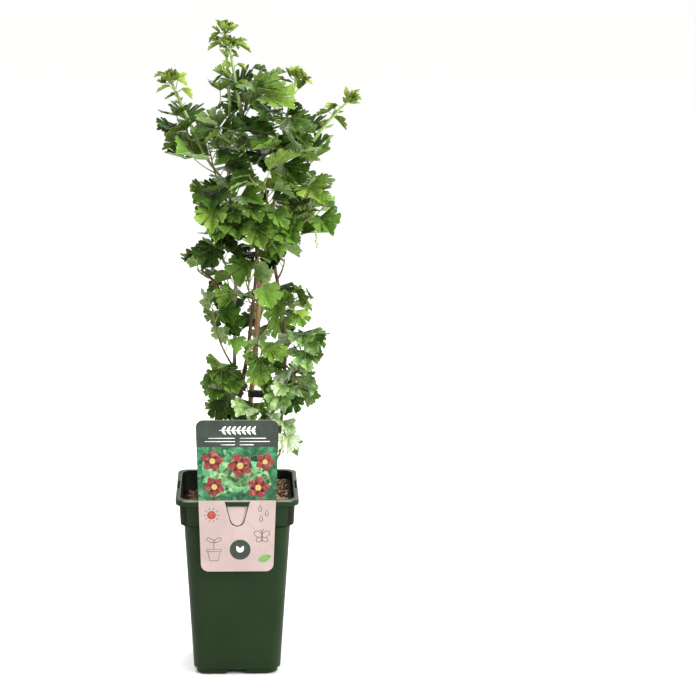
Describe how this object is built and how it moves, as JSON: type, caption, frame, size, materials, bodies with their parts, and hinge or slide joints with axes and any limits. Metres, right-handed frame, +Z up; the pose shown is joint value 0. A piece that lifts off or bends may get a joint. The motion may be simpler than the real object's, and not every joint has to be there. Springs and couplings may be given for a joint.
{
  "type": "gooseberry bush",
  "caption": "Young gooseberry bush: slender stems with lobed leaves and pale growing tips, in a tall square nursery pot with a hanging label card.",
  "frame": {"origin": "centre of the pot's flat underside, where it stands", "axes": "+Z up along the stems, -Y towards the side of the pot where the label hangs, +X to the right seen from there"},
  "size_m": [0.2142, 0.172, 0.697],
  "materials": {
    "pot_plastic": "dark green moulded plastic, satin, with paler worn edges",
    "potting_soil": "matt crumbly potting soil with chips of bark",
    "label_print": "printed card under a glossy film",
    "tie_band": "dark flexible plastic band",
    "stem_bark": "matt grey-brown young bark",
    "bough_bark": "reddish-brown young bark with a slight sheen",
    "leaf_green": "leathery green leaves, slightly glossy above and paler below",
    "shoot_green": "soft pale yellow-green young leaves"
  },
  "bodies": {
    "root": {"pot": "pot_plastic", "soil": "potting_soil", "label_card": "label_print", "stem_left": "stem_bark", "stem_main": "stem_bark", "stem_right": "stem_bark", "stem_back": "stem_bark", "bough_centre": "bough_bark", "bough_upper_left": "bough_bark", "bough_left": "bough_bark", "bough_right": "bough_bark", "bough_right_low": "bough_bark", "bough_front": "bough_bark", "bough_back_left": "bough_bark", "bough_back_right": "bough_bark", "stem_tie": "tie_band", "shoot_top_left": "shoot_green", "shoot_top_right": "shoot_green", "shoot_left": "shoot_green", "shoot_centre": "shoot_green", "shoot_right": "shoot_green", "leaves_upper_left_tip": "leaf_green", "leaves_upper_left": "leaf_green", "leaves_top_left": "leaf_green", "leaves_top_centre": "leaf_green", "leaves_top_right": "leaf_green", "leaves_right_high": "leaf_green", "leaves_front_top": "leaf_green", "leaves_bright_right": "leaf_green", "leaves_right": "leaf_green", "leaves_mid_left": "leaf_green", "leaves_left_shoulder": "leaf_green", "leaves_front_left": "leaf_green", "leaves_front_high": "leaf_green", "leaves_front_mid": "leaf_green", "leaves_front_centre": "leaf_green", "leaves_front_low": "leaf_green", "leaves_waist": "leaf_green", "leaves_waist_right": "leaf_green", "leaves_left_tip": "leaf_green", "leaves_left": "leaf_green", "leaves_left_low": "leaf_green", "leaves_left_foot": "leaf_green", "leaves_right_waist": "leaf_green", "leaves_right_low_tip": "leaf_green", "leaves_right_low": "leaf_green", "leaves_centre_low": "leaf_green", "leaves_right_foot": "leaf_green", "leaves_centre_foot": "leaf_green", "leaves_back_top": "leaf_green", "leaves_back_left_high": "leaf_green", "leaves_back_right_high": "leaf_green", "leaves_back_high": "leaf_green", "leaves_back_left": "leaf_green", "leaves_back": "leaf_green", "leaves_back_right": "leaf_green", "leaves_back_low_left": "leaf_green", "leaves_back_low_right": "leaf_green", "leaves_back_foot_right": "leaf_green", "leaves_back_foot_left": "leaf_green"}
  },
  "joints": []
}
